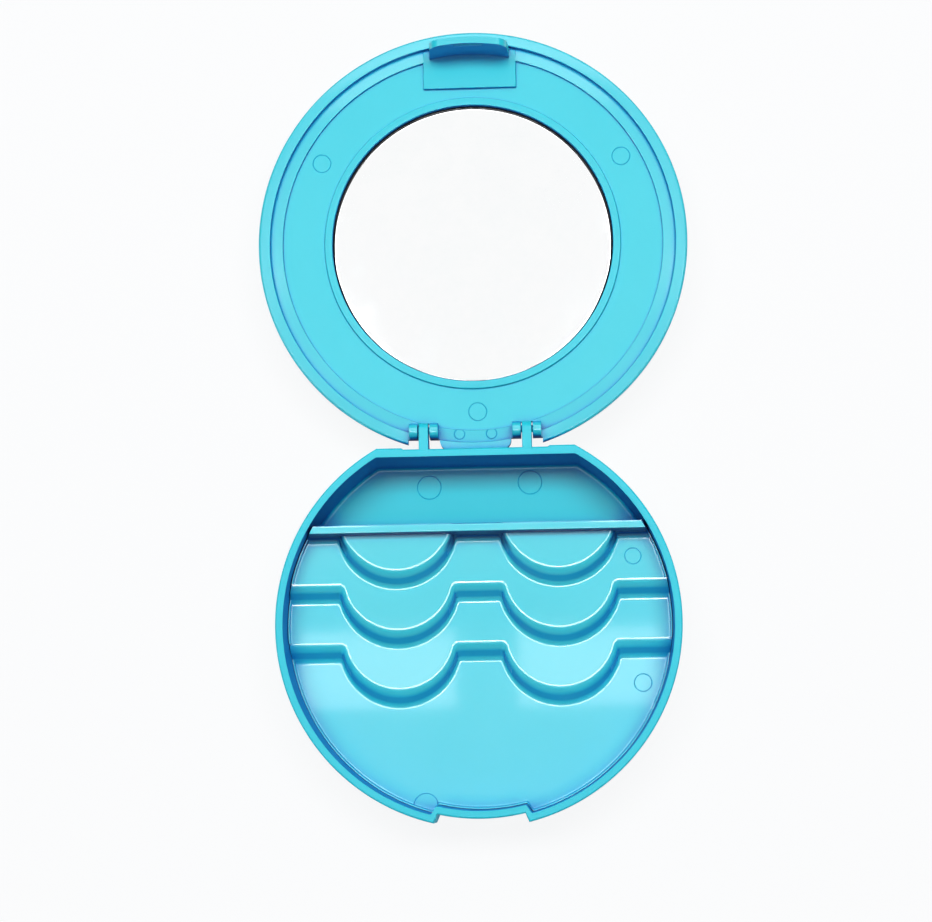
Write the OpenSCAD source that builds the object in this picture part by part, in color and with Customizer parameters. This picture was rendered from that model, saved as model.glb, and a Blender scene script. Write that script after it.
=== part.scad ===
// False eyelash case: a round base shell, a stepped lash tray set in it, and a snap-on mirrored lid.
// The origin is the middle of the underside, +Z is up and +Y points to the hinge.
// The lid is drawn lying open, as it is when the case is in use.

/* [Base shell] */
// Outer diameter of the base at its rim
base_d = 100.5; // [96:0.5:110]
// Height of the rim above the table
base_h = 18; // [17:0.5:24]
// Thickness of the side wall
base_wall = 1.9; // [1.4:0.1:2.3]
// Thickness of the floor
base_floor = 2.2; // [1.6:0.1:2.8]
// Radius of the rounded bottom edge
bottom_round = 1.4; // [0.6:0.1:2]
// Distance from the centre to the flat back
back_y = 43.8; // [42:0.1:45]
// Half width of the shallow recess in the flat back
back_recess_half = 18.2; // [17.8:0.1:22]
// Depth of that recess, where the open lid comes to rest
back_recess = 0.35; // [0.2:0.05:0.6]

/* [Finger notch] */
// Half width of the notch in the front wall
notch_half = 10.9; // [9:0.1:13]
// Depth of the notch
notch_depth = 2.35; // [1.8:0.05:3]
// Length over which the notch's ends slant
notch_slant = 1.2; // [0.6:0.1:2]

/* [Hinge] */
// Distance from the flat back to the hinge axis
hinge_reach = 4.4; // [4.2:0.1:5.2]
// Depth of the hinge axis below the rim
hinge_drop = 2.0; // [1.9:0.1:2.4]
// Distance of each arm from the middle
arm_x = 12.85; // [12:0.05:13.5]
// Width of each arm
arm_w = 2.4; // [2:0.1:2.8]
// Radius of the round ends of arms and ears
lug_r = 1.9; // [1.7:0.05:2.1]
// Diameter of the pivot bosses on the arms
pivot_d = 1.8; // [1.4:0.1:2]
// Length of a boss beyond the arm's face
pivot_len = 1.05; // [0.8:0.05:1.3]
// Radial clearance of a boss in its socket
pivot_clear = 0.05; // [0.03:0.01:0.09]
// Thickness of the lid's ears
ear_w = 2.2; // [1.8:0.1:2.4]
// Gap between an arm and an ear
ear_gap = 0.25; // [0.2:0.05:0.4]

/* [Lash tray] */
// Gap between the tray and the shell's wall
tray_gap = 0.4; // [0.2:0.05:0.6]
// Wall thickness of the tray
tray_wall = 1.5; // [1:0.1:1.8]
// Rise from one tier to the next
step_h = 3.5; // [3:0.1:3.8]
// Distance from one tier to the next
tier_pitch = 14.7; // [13.5:0.1:15.5]
// Place of the lowest tier's straight front edge
first_edge = -3.75; // [-5:0.05:0]
// Radius of the half-round lash rests
lobe_r = 13.4; // [12:0.05:14.5]
// Distance of the lash rests from the middle
lobe_x = 20.2; // [18:0.1:21.5]
// Distance from a tier's straight edge back to the middle of its lash rests
lobe_back = 1.9; // [1:0.05:4]
// Radius of the inside corners beside the lash rests
corner_r = 1.1; // [0.6:0.1:1.6]
// Radius of the rounded top edges of the tiers
edge_round = 1.4; // [0.8:0.1:1.6]
// Radius of the fillet at the foot of each riser
foot_fillet = 0.9; // [0.4:0.1:1.2]
// Forward slope of a riser between its top and its foot
riser_slope = 2.95; // [1.5:0.05:3.2]

/* [Partition] */
// Depth of the partition's top below the rim
partition_drop = 0.7; // [0.4:0.1:1.5]
// Place of the partition's rear face
partition_y = 25.15; // [24.5:0.05:26.5]
// Thickness of the partition at its top
partition_w = 2.45; // [1.8:0.05:3]
// Spread of the partition's front face at its foot
partition_spread = 1.2; // [0.6:0.1:2]
// Radius of its top edges
partition_round = 0.5; // [0.3:0.1:0.8]

/* [Lid] */
// Gap between the rim and the lid's ledge when closed
seat_gap = 0.05; // [0.03:0.01:0.1]
// Gap between the base's wall and the lid's skirt
skirt_gap = 0.85; // [0.5:0.05:1.2]
// Width of the skirt's lip
skirt_w = 3.0; // [2.4:0.1:3.6]
// Height of the lip below the ledge when closed
lip_h = 0.9; // [0.6:0.1:0.9]
// Width of the ledge that seats on the rim
ledge_w = 3.2; // [2.8:0.1:3.6]
// Height of the step from the ledge to the inner floor
ledge_step = 0.9; // [0.5:0.1:1.5]
// Straight height of the lid's outer edge
edge_h = 1.5; // [1:0.1:2]
// Radius of the flat middle of the lid's outside
crown_r = 34; // [28:1:38]
// Radius of the lip's corners between the ears
lip_corner = 2.3; // [1:0.1:2.4]
// Thickness of the plate behind the mirror
lid_plate = 1.1; // [1:0.1:2]

/* [Mirror] */
// Diameter of the mirror
mirror_d = 70; // [60:0.5:72]
// Thickness of the mirror
mirror_t = 1.0; // [0.8:0.1:1.8]
// Bevel of the mirror's edge
mirror_bevel = 0.25; // [0.1:0.05:0.4]
// Thickness of the adhesive disc
tape_t = 0.3; // [0.2:0.1:0.6]
// Width left bare round the adhesive disc
tape_margin = 1.0; // [0.5:0.1:3]
// Gap round the mirror
mirror_gap = 0.45; // [0.2:0.05:0.8]
// Depth of the mirror's face below the bezel
mirror_sink = 1.0; // [0.6:0.1:1.6]
// Width of the bezel ring at its top
bezel_w = 1.9; // [1.4:0.1:2.4]
// Height of the bezel ring above the inner floor
bezel_h = 0.6; // [0.3:0.1:0.8]

/* [Latch] */
// Gap between each side of the latch tab and the notch's end
tab_side_gap = 0.7; // [0.4:0.1:2]
// Length of the latch tab below the ledge
tab_len = 10; // [6:0.1:11]
// Thickness of the latch tab
tab_t = 2.1; // [1.6:0.1:2.4]
// Gap between the tab and the notch's wall
tab_gap = 0.55; // [0.45:0.05:0.8]
// Radius of the tab's lower corners
tab_corner = 2; // [1:0.1:3]
// Half width of the catch bead
bead_half = 3.6; // [2.5:0.1:5]
// Height that the catch bead stands proud of the tab
bead_proud = 0.4; // [0.2:0.05:0.4]
// Half width of the pad that seats on the notch's rim
pad_half = 11.8; // [9:0.1:14]
// Length of the pad towards the mirror
pad_len = 9.8; // [6:0.1:10.5]

/* [Hidden] */
cyan = [0.23, 0.80, 0.89];
fine = 180;
cut = 1;
far = 200;
open_angle = 180;
base_r = base_d / 2;
inner_r = base_r - base_wall;
inner_back = back_y - back_recess - base_wall;
hinge_y = back_y + hinge_reach;
hinge_z = base_h - hinge_drop;
notch_r = base_r - notch_depth;
notch_inner_r = notch_r - base_wall;
rim_chamfer = 0.3;
floor_round = 0.9;
arm_root_drop = 5.5;
socket_r = pivot_d / 2 + pivot_clear;
socket_extra = 0.1;
pivot_tip = 0.3;
tray_r = inner_r - tray_gap;
tray_floor = base_floor + tray_wall;
partition_top = base_h - partition_drop;
side_x = base_r + 5;
arc_steps = 3;
lobe_steps = 16;
riser_sink = 0.5;
slope_rate = riser_slope / step_h;
ledge_z = base_h + seat_gap;
lip_z = ledge_z - lip_h;
skirt_r = base_r + skirt_gap;
lid_r = skirt_r + skirt_w;
ledge_r = skirt_r - ledge_w;
inner_floor_z = ledge_z + ledge_step;
bezel_z = inner_floor_z - bezel_h;
mirror_r = mirror_d / 2;
pocket_r = mirror_r + mirror_gap;
bezel_r = pocket_r + bezel_w;
mirror_z = bezel_z + mirror_sink;
pocket_z = mirror_z + mirror_t + tape_t;
top_z = pocket_z + lid_plate;
shoulder_z = lip_z + edge_h;
lip_round = 0.4;
stop_gap = 0.05;
lid_back = 2 * hinge_y - (back_y - back_recess) - stop_gap;
arm_in = arm_x - arm_w / 2;
arm_out = arm_x + arm_w / 2;
ear_clear = 0.3;
hinge_cut_in = arm_in - ear_gap - ear_w - ear_clear;
hinge_cut_out = arm_out + ear_gap + ear_w + ear_clear;
tab_half = notch_half - tab_side_gap;
tab_r = notch_r + tab_gap;
tab_z = ledge_z - tab_len;
bead_r = 0.8;
bead_rise = 1.6;

function arc(cx, cy, r, from, to, steps) =
    [for (i = [0:steps]) let (a = from + (to - from) * i / steps) [cx + r * cos(a), cy + r * sin(a)]];

// Base shell

module half_space_front(y) {
    translate([-far / 2, y - far, -cut]) cube([far, far, far]);
}

module shell_outer() {
    profile = concat(
        [[0, 0]],
        arc(base_r - bottom_round, bottom_round, bottom_round, -90, 0, 4),
        [[base_r, base_h - rim_chamfer], [base_r - rim_chamfer, base_h], [0, base_h]]
    );
    rotate_extrude($fn = fine) polygon(profile);
}

module shell_cavity() {
    profile = concat(
        [[0, base_floor]],
        arc(inner_r - floor_round, base_floor + floor_round, floor_round, -90, 0, 4),
        [[inner_r, base_h + cut], [0, base_h + cut]]
    );
    intersection() {
        rotate_extrude($fn = fine) polygon(profile);
        half_space_front(inner_back);
    }
}

// Plan of the front notch, wider at the outside by its slanted ends
module notch_plan(half, y_out, y_in) {
    polygon([[-half - notch_slant, -y_out], [half + notch_slant, -y_out], [half, -y_in], [-half, -y_in]]);
}

module notch_space() {
    difference() {
        translate([0, 0, -cut]) linear_extrude(base_h + 2 * cut)
            notch_plan(notch_half, base_r + notch_slant, notch_r - notch_depth);
        translate([0, 0, -2 * cut]) cylinder(r = notch_r, h = base_h + 4 * cut, $fn = fine);
    }
}

// The wall steps inwards behind the notch and keeps its thickness
module notch_wall(gap = 0) {
    half = notch_half + base_wall + gap;
    difference() {
        intersection() {
            translate([0, 0, base_floor / 2]) linear_extrude(base_h - base_floor / 2)
                notch_plan(half - notch_slant, inner_r + base_wall / 2, notch_inner_r - base_wall);
            cylinder(r = inner_r + base_wall / 2, h = base_h, $fn = fine);
        }
        translate([0, 0, -cut]) cylinder(r = notch_inner_r - gap, h = base_h + 2 * cut, $fn = fine);
    }
}

module hinge_arm(x) {
    profile = concat(
        arc(hinge_y, hinge_z, lug_r, 90, -60, 12),
        [[inner_back + base_wall / 2, hinge_z - arm_root_drop], [inner_back + base_wall / 2, hinge_z + lug_r]]
    );
    translate([x - arm_w / 2, 0, 0]) rotate([90, 0, 90]) linear_extrude(arm_w) polygon(profile);
    translate([x, hinge_y, hinge_z]) rotate([0, 90, 0]) pivot_bosses();
}

module pivot_bosses() {
    r = pivot_d / 2;
    half = arm_w / 2 + pivot_len;
    rotate_extrude($fn = 48) polygon([
        [0, -half], [r - pivot_tip, -half], [r, -half + pivot_tip],
        [r, half - pivot_tip], [r - pivot_tip, half], [0, half]
    ]);
}

module base_shell() {
    color(cyan) {
        difference() {
            union() {
                difference() {
                    intersection() {
                        shell_outer();
                        half_space_front(back_y);
                    }
                    shell_cavity();
                }
                notch_wall();
            }
            notch_space();
            translate([-back_recess_half, back_y - back_recess, -cut])
                cube([2 * back_recess_half, back_recess + cut, base_h + 2 * cut]);
        }
        for (side = [-1, 1]) hinge_arm(side * arm_x);
    }
}

// Lash tray

// Half distance from the middle of a lash rest to the middle of its corner arc
function corner_dx(o) = sqrt(pow(lobe_r + o + corner_r, 2) - pow(lobe_back + o + corner_r, 2));

// One lash rest with the two corner arcs that join it to the straight edge, left to right
function lobe_front(cx, o) =
    let (dx = corner_dx(o), dy = lobe_back + o + corner_r, turn = atan2(dy, dx))
    concat(
        arc(cx - dx, -o - corner_r, corner_r, 90, turn, arc_steps),
        arc(cx, lobe_back, lobe_r + o, 180 + turn, 360 - turn, lobe_steps),
        arc(cx + dx, -o - corner_r, corner_r, 180 - turn, 90, arc_steps)
    );

// Plan of a tier whose riser has grown forward by o, with its straight edge on the X axis
function tier_plan(o) = concat(
    [[0, far / 2], [-side_x, far / 2], [-side_x, -o]],
    lobe_front(-lobe_x, o), lobe_front(lobe_x, o),
    [[side_x, -o], [side_x, far / 2]]
);

// Growth and drop of the riser from its rounded top edge to the fillet at its foot
riser_profile = concat(
    [for (i = [0:arc_steps]) let (a = 90 * i / arc_steps) [edge_round * sin(a), edge_round * (1 - cos(a))]],
    [for (i = [0:arc_steps]) let (a = 90 * i / arc_steps)
        [edge_round + foot_fillet * (1 - cos(a)), step_h - foot_fillet * (1 - sin(a))]]
);

// A solid through rings of points, top ring first, whose first point sees all the others
module loft(rings) {
    n = len(rings[0]);
    last = len(rings) - 1;
    sides = [for (j = [0:last - 1]) for (i = [0:n - 1]) let (k = (i + 1) % n)
        each [[j * n + i, j * n + k, (j + 1) * n + k], [j * n + i, (j + 1) * n + k, (j + 1) * n + i]]];
    top = [for (i = [1:n - 2]) [0, i + 1, i]];
    bottom = [for (i = [1:n - 2]) [last * n, last * n + i, last * n + i + 1]];
    polyhedron(points = [for (ring = rings) each ring], faces = concat(sides, top, bottom));
}

// A tier from its top down to the tier below, or its hollow inside when wall is above 0
module tier(level, wall, down) {
    z = tray_floor + level * step_h - wall;
    y = first_edge + (level - 1) * tier_pitch;
    rings = concat(
        [for (p = riser_profile) [for (q = tier_plan(p[0] - wall)) [q[0], q[1] + y - slope_rate * p[1], z - p[1]]]],
        [[for (q = tier_plan(edge_round + foot_fillet - wall)) [q[0], q[1] + y - riser_slope, z - step_h - down]]]
    );
    loft(rings);
}

// Outline of the tray, rounded at its foot like the shell's floor
module tray_boundary(gap) {
    profile = concat(
        [[0, base_floor]],
        arc(tray_r - floor_round, base_floor + floor_round, floor_round, -90, 0, 4),
        [[tray_r, base_floor + base_h], [0, base_floor + base_h]]
    );
    difference() {
        intersection() {
            if (gap > 0) {
                translate([0, 0, base_floor]) cylinder(r = tray_r - gap, h = base_h, $fn = fine);
            } else {
                rotate_extrude($fn = fine) polygon(profile);
            }
            half_space_front(gap > 0 ? partition_y - partition_w : partition_y);
        }
        notch_wall(tray_gap + gap);
        translate([0, 0, -cut]) linear_extrude(base_h + 2 * cut)
            notch_plan(notch_half, base_r + notch_slant, notch_r - notch_depth);
    }
}

module partition() {
    front = partition_y - partition_w;
    r = partition_round;
    profile = concat(
        [[partition_y + cut, base_floor], [partition_y + cut, partition_top - r]],
        arc(partition_y - r, partition_top - r, r, 0, 90, 3),
        arc(front + r, partition_top - r, r, 90, 180, 3),
        [[front - partition_spread, base_floor]]
    );
    translate([-side_x, 0, 0]) rotate([90, 0, 90]) linear_extrude(2 * side_x) polygon(profile);
}

module lash_tray() {
    color(cyan)
    difference() {
        intersection() {
            union() {
                for (level = [1:3]) tier(level, 0, riser_sink);
                translate([-side_x, -side_x, base_floor]) cube([2 * side_x, 2 * side_x, tray_wall]);
                partition();
            }
            tray_boundary(0);
        }
        intersection() {
            union() {
                for (level = [1:3]) tier(level, tray_wall, tray_floor);
            }
            translate([0, 0, -cut]) tray_boundary(tray_wall);
        }
    }
}

// Lid, modelled as it is when closed and then swung open

module swing_open() {
    translate([0, hinge_y, hinge_z]) rotate([-open_angle, 0, 0]) translate([0, -hinge_y, -hinge_z]) children();
}

module lid_body() {
    dome = [for (a = [80:-10:0]) [crown_r + (lid_r - crown_r) * sin(a), shoulder_z + (top_z - shoulder_z) * cos(a)]];
    profile = concat(
        [
            [0, pocket_z], [pocket_r, pocket_z], [pocket_r, bezel_z + lip_round / 2],
            [pocket_r + lip_round / 2, bezel_z], [bezel_r - lip_round, bezel_z], [bezel_r, inner_floor_z],
            [ledge_r, inner_floor_z], [ledge_r, ledge_z], [skirt_r, ledge_z], [skirt_r, lip_z + lip_round / 2],
            [skirt_r + lip_round / 2, lip_z], [lid_r - lip_round, lip_z], [lid_r, lip_z + lip_round],
            [lid_r, shoulder_z]
        ],
        dome,
        [[0, top_z]]
    );
    rotate_extrude($fn = fine) polygon(profile);
}

module hinge_ear(x) {
    profile = concat(
        [[hinge_y + lug_r, ledge_z + ledge_step], [hinge_y - lug_r, ledge_z + ledge_step]],
        arc(hinge_y, hinge_z, lug_r, 180, 360, 12)
    );
    translate([x - ear_w / 2, 0, 0]) rotate([90, 0, 90]) linear_extrude(ear_w) polygon(profile);
}

module pivot_socket(x) {
    depth = arm_w / 2 + pivot_len + socket_extra;
    translate([x - depth, hinge_y, hinge_z]) rotate([0, 90, 0]) cylinder(r = socket_r, h = 2 * depth, $fn = 48);
}

// Slots for the arms, and the lip taken away beside the ears
module hinge_cuts(x) {
    slot = arm_w / 2 + ear_gap;
    slot_y = hinge_y - lug_r - ear_clear;
    translate([x - slot, slot_y, 0]) cube([2 * slot, far, top_z + cut]);
    translate([x - (hinge_cut_out - hinge_cut_in) / 2, hinge_y + lug_r, 0])
        cube([hinge_cut_out - hinge_cut_in, far, top_z + cut]);
}

// Straight cut behind the lip, whose corners are round between the ears
module lip_cut() {
    x = hinge_cut_in - lip_corner;
    y = lid_back - lip_corner;
    linear_extrude(far) polygon(concat(
        [[arm_x, far], [-arm_x, far], [-arm_x, y]],
        arc(-x, y, lip_corner, 180, 90, 6),
        arc(x, y, lip_corner, 90, 0, 6),
        [[arm_x, y]]
    ));
}

module latch_tab() {
    plan = concat(
        arc(-tab_half + tab_corner, tab_z + tab_corner, tab_corner, 180, 270, 4),
        arc(tab_half - tab_corner, tab_z + tab_corner, tab_corner, 270, 360, 4),
        [[tab_half, inner_floor_z], [-tab_half, inner_floor_z]]
    );
    intersection() {
        translate([0, -tab_r / 2, 0]) rotate([90, 0, 0]) linear_extrude(far) polygon(plan);
        difference() {
            cylinder(r = tab_r + tab_t, h = far, $fn = fine);
            translate([0, 0, -cut]) cylinder(r = tab_r, h = far + 2 * cut, $fn = fine);
        }
    }
    bead_y = -tab_r - bead_r + bead_proud;
    translate([-bead_half, bead_y, tab_z + bead_rise]) rotate([0, 90, 0])
        cylinder(r = bead_r, h = 2 * bead_half, $fn = 36);
}

module lid_shell() {
    pad_front = ledge_r + ledge_w / 2;
    color(cyan)
    swing_open()
    difference() {
        union() {
            difference() {
                union() {
                    lid_body();
                    translate([-pad_half, -pad_front, ledge_z]) cube([2 * pad_half, pad_len, ledge_step + cut / 2]);
                }
                for (side = [-1, 1]) hinge_cuts(side * arm_x);
                lip_cut();
            }
            for (side = [-1, 1], inner = [-1, 1])
                hinge_ear(side * (arm_x + inner * (arm_w / 2 + ear_gap + ear_w / 2)));
            latch_tab();
        }
        for (side = [-1, 1]) pivot_socket(side * arm_x);
    }
}

module mirror() {
    profile = [
        [0, mirror_z], [mirror_r - mirror_bevel, mirror_z], [mirror_r, mirror_z + mirror_bevel],
        [mirror_r, mirror_z + mirror_t], [0, mirror_z + mirror_t]
    ];
    color([0.93, 0.94, 0.95]) swing_open() rotate_extrude($fn = fine) polygon(profile);
}

module mirror_adhesive() {
    color([0.06, 0.06, 0.07]) swing_open()
        translate([0, 0, mirror_z + mirror_t]) cylinder(r = mirror_r - tape_margin, h = tape_t, $fn = fine);
}

base_shell();
lash_tray();
lid_shell();
mirror();
mirror_adhesive();
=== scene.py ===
import math
import random

import bmesh
import bpy
from mathutils import Matrix, Vector


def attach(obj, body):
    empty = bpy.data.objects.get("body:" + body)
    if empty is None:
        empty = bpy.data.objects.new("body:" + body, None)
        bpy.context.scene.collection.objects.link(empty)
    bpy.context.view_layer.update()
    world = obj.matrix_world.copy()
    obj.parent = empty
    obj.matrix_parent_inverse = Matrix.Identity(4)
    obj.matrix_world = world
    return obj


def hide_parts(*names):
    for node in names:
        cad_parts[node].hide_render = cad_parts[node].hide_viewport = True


# The origin is the middle of the base's underside, +Z is up and +Y points to the hinge.
# Lengths are millimetres and angles degrees in every dictionary, unless a note says otherwise.

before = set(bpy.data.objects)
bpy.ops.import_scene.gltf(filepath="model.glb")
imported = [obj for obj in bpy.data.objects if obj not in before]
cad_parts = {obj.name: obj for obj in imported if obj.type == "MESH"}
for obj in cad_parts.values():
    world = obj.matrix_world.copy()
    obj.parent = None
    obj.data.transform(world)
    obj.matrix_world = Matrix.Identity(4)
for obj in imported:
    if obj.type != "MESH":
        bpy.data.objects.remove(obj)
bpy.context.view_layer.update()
mm = 0.001

# How every mesh is built and finished
meshing = {
    "turnSteps": 240, "rodSteps": 48, "notchSteps": 12, "blendSteps": 10,
    "weldGap": 0.002, "thinnest": 0.001, "sharpAngle": 32, "faceAreaWeight": 80, "bevelAngle": 35,
}


# Numbers, points and plans

def spread(start, end, steps):
    return [start + (end - start) * i / steps for i in range(steps + 1)]


def mix(a, b, share):
    return a + (b - a) * share


def smoothStep(t):
    return t * t * (3 - 2 * t)


def arcPoints(cx, cy, radius, start, end, steps):
    angles = [math.radians(angle) for angle in spread(start, end, steps)]
    return [(cx + radius * math.cos(a), cy + radius * math.sin(a)) for a in angles]


def rectangle(left, low, right, high):
    return [(left, low), (right, low), (right, high), (left, high)]


def onCircle(radius, y):
    return math.sqrt(radius * radius - y * y), y


# Right half of a round plan with a notch at its front: the notch's arc from the middle to x0,
# a blend to the full radius at x1, then the round side up to a corner at the back
def frontHalf(r, notchR, x0, x1, corner, ease, steps):
    notch = spread(0, math.asin(x0 / notchR), meshing["notchSteps"])
    half = [(notchR * math.sin(a), -notchR * math.cos(a)) for a in notch]
    for share in spread(0, 1, meshing["blendSteps"])[1:]:
        x = mix(x0, x1, share)
        radius = mix(notchR, r, ease(share))
        half.append((x, -math.sqrt(radius * radius - x * x)))
    start = math.atan2(-math.sqrt(r * r - x1 * x1), x1)
    end = math.atan2(corner[1], corner[0])
    half += [(r * math.cos(a), r * math.sin(a)) for a in spread(start, end, steps)[1:]]
    return half


def wholePlan(half, z):
    left = [(-x, y) for x, y in reversed(half[1:-1])]
    return [(x, y, z) for x, y in half + left]


# Mesh helpers

def meshObject(name, points, faces):
    mesh = bpy.data.meshes.new(name)
    mesh.from_pydata([Vector(p) * mm for p in points], [], faces)
    skin = bmesh.new()
    skin.from_mesh(mesh)
    bmesh.ops.recalc_face_normals(skin, faces=skin.faces)
    skin.to_mesh(mesh)
    skin.free()
    obj = bpy.data.objects.new(name, mesh)
    bpy.context.scene.collection.objects.link(obj)
    return obj


# A skin through rings with the same number of points. The end rings get caps,
# or are joined to each other where the loft is closed.
def loftObject(name, rings, closed=False):
    count = len(rings[0])
    last = len(rings) - 1
    faces = []
    for j in range(len(rings) if closed else last):
        near = j * count
        away = (j + 1) % len(rings) * count
        for i in range(count):
            k = (i + 1) % count
            faces.append((near + i, near + k, away + k, away + i))
    if not closed:
        faces.append(tuple(range(count)))
        faces.append(tuple(range(last * count, last * count + count)))
    return meshObject(name, [p for ring in rings for p in ring], faces)


# A profile of (radius, height) turned about a vertical axis at y = cy, with a flat disc at each end
def turnedObject(name, profile, cy):
    turn = [math.radians(angle) for angle in spread(0, 360, meshing["turnSteps"])[:-1]]
    rings = []
    for radius, height in profile:
        rings.append([(radius * math.cos(a), cy + radius * math.sin(a), height) for a in turn])
    return loftObject(name, rings)


# A profile in one plane pushed along the third axis
def pushedObject(name, profile, axis, start, end):
    place = {"x": lambda p, depth: (depth, p[0], p[1]),
             "y": lambda p, depth: (p[0], depth, p[1]),
             "z": lambda p, depth: (p[0], p[1], depth)}[axis]
    return loftObject(name, [[place(p, depth) for p in profile] for depth in (start, end)])


# A round rod along X about centre (y, z)
def rodObject(name, centre, radius, start, end):
    profile = arcPoints(centre[0], centre[1], radius, 0, 360, meshing["rodSteps"])[:-1]
    return pushedObject(name, profile, "x", start, end)


def applyModifiers(obj):
    depsgraph = bpy.context.evaluated_depsgraph_get()
    mesh = bpy.data.meshes.new_from_object(obj.evaluated_get(depsgraph))
    old = obj.data
    obj.modifiers.clear()
    obj.data = mesh
    bpy.data.meshes.remove(old)


def combine(target, others, operation):
    for other in others:
        step = target.modifiers.new("combine", "BOOLEAN")
        step.operation = operation
        step.solver = "EXACT"
        step.object = other
        applyModifiers(target)
        bpy.data.objects.remove(other)
    return target


def roundEdges(obj, width, segments=3, angle=meshing["bevelAngle"]):
    bevel = obj.modifiers.new("rounded edges", "BEVEL")
    bevel.width = width * mm
    bevel.segments = segments
    bevel.limit_method = "ANGLE"
    bevel.angle_limit = math.radians(angle)
    bevel.use_clamp_overlap = True
    applyModifiers(obj)
    return obj


# Welds the seams that booleans leave, then shades smooth up to the sharp angle
def finishMesh(obj, sharpAngle=meshing["sharpAngle"]):
    weld = bmesh.new()
    weld.from_mesh(obj.data)
    bmesh.ops.remove_doubles(weld, verts=weld.verts, dist=meshing["weldGap"] * mm)
    bmesh.ops.dissolve_degenerate(weld, edges=weld.edges, dist=meshing["thinnest"] * mm)
    weld.to_mesh(obj.data)
    weld.free()
    obj.data.polygons.foreach_set("use_smooth", [True] * len(obj.data.polygons))
    obj.data.set_sharp_from_angle(angle=math.radians(sharpAngle))
    even = obj.modifiers.new("even shading", "WEIGHTED_NORMAL")
    even.mode = "FACE_AREA"
    even.weight = meshing["faceAreaWeight"]
    even.keep_sharp = True
    applyModifiers(obj)
    return obj


def volumeOf(obj):
    body = bmesh.new()
    body.from_mesh(obj.data)
    volume = body.calc_volume() / mm ** 3
    body.free()
    return volume


# The round line that an ejector pin leaves. maxChange is cubic millimetres, starts are radians.
pinLine = {
    "halfWidth": 0.26, "depth": 0.13, "steps": 61, "starts": (0.13, 0.71, 1.37, 2.9), "maxChange": 1,
}


# Cuts a V along a circle into the face whose height the function surface gives. A cut that opens
# the mesh changes its volume too much, and is tried again with the ring turned to another start.
def cutMark(obj, x, y, radius, surface):
    p = pinLine
    whole, kept = volumeOf(obj), obj.data.copy()
    for start in p["starts"]:
        turn = spread(start, start + 2 * math.pi, p["steps"])[:-1]
        rings = []
        for r, up in ((radius - p["halfWidth"], p["depth"]), (radius, -p["depth"]),
                      (radius + p["halfWidth"], p["depth"])):
            places = [(x + r * math.cos(a), y + r * math.sin(a)) for a in turn]
            rings.append([(px, py, surface(px, py) + up) for px, py in places])
        combine(obj, [loftObject("pinMark", rings, closed=True)], "DIFFERENCE")
        if abs(whole - volumeOf(obj)) < p["maxChange"]:
            return
        obj.data = kept.copy()
    print("mark left out at", x, y)


# Base shell. A mark is (x, y, radius).

base = {
    "radius": 50.25, "height": 18.0, "wall": 1.9, "floor": 2.2,
    "bottomRound": 1.4, "rimRound": 0.55, "rimInner": 0.25, "draft": 0.25,
    "backY": 43.8, "recessHalf": 18.2, "recess": 0.35, "recessBlend": 0.25, "backDraft": 0.7,
    "floorRound": 1.1, "sideSteps": 96,
    "notchHalf": 10.75, "notchDepth": 2.35, "notchSlant": 0.95, "notchInnerShift": 0.9,
    "armX": 12.85, "armWidth": 2.4, "armRound": 0.22, "lugRadius": 1.9, "hingeY": 48.2, "hingeZ": 16.0,
    "armRootDrop": 5.5, "bossRadius": 0.9, "bossReach": 1.05, "bossRound": 0.25,
    "marks": [(-12.4, 35.6, 3.0), (13.2, 36.4, 3.0)],
}


# One closed loop of the shell's plan: circle, flat back with its recess, and front notch.
# The back is drawn in by an amount of its own, and the inner wall has no recess.
def shellLoop(inset, backInset, z, inner):
    b = base
    r = b["radius"] - inset
    notchR = b["radius"] - b["notchDepth"] - inset
    midY = b["backY"] - b["recess"] - backInset
    endY = midY if inner else b["backY"] - backInset
    share = min(inset / b["wall"], 1)
    slantX = b["notchHalf"] + b["notchSlant"] + b["notchInnerShift"] * share
    corner = onCircle(r, endY)
    half = frontHalf(r, notchR, b["notchHalf"], slantX, corner,
                     lambda t: mix(t, smoothStep(t), share), b["sideSteps"])
    edge, blend = b["recessHalf"], b["recessBlend"]
    half += [(mix(corner[0], edge, 0.5), endY), (edge + blend, endY)]
    half += [(x, midY) for x in spread(edge - blend, 0, 6)]
    return wholePlan(half, z)


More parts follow.
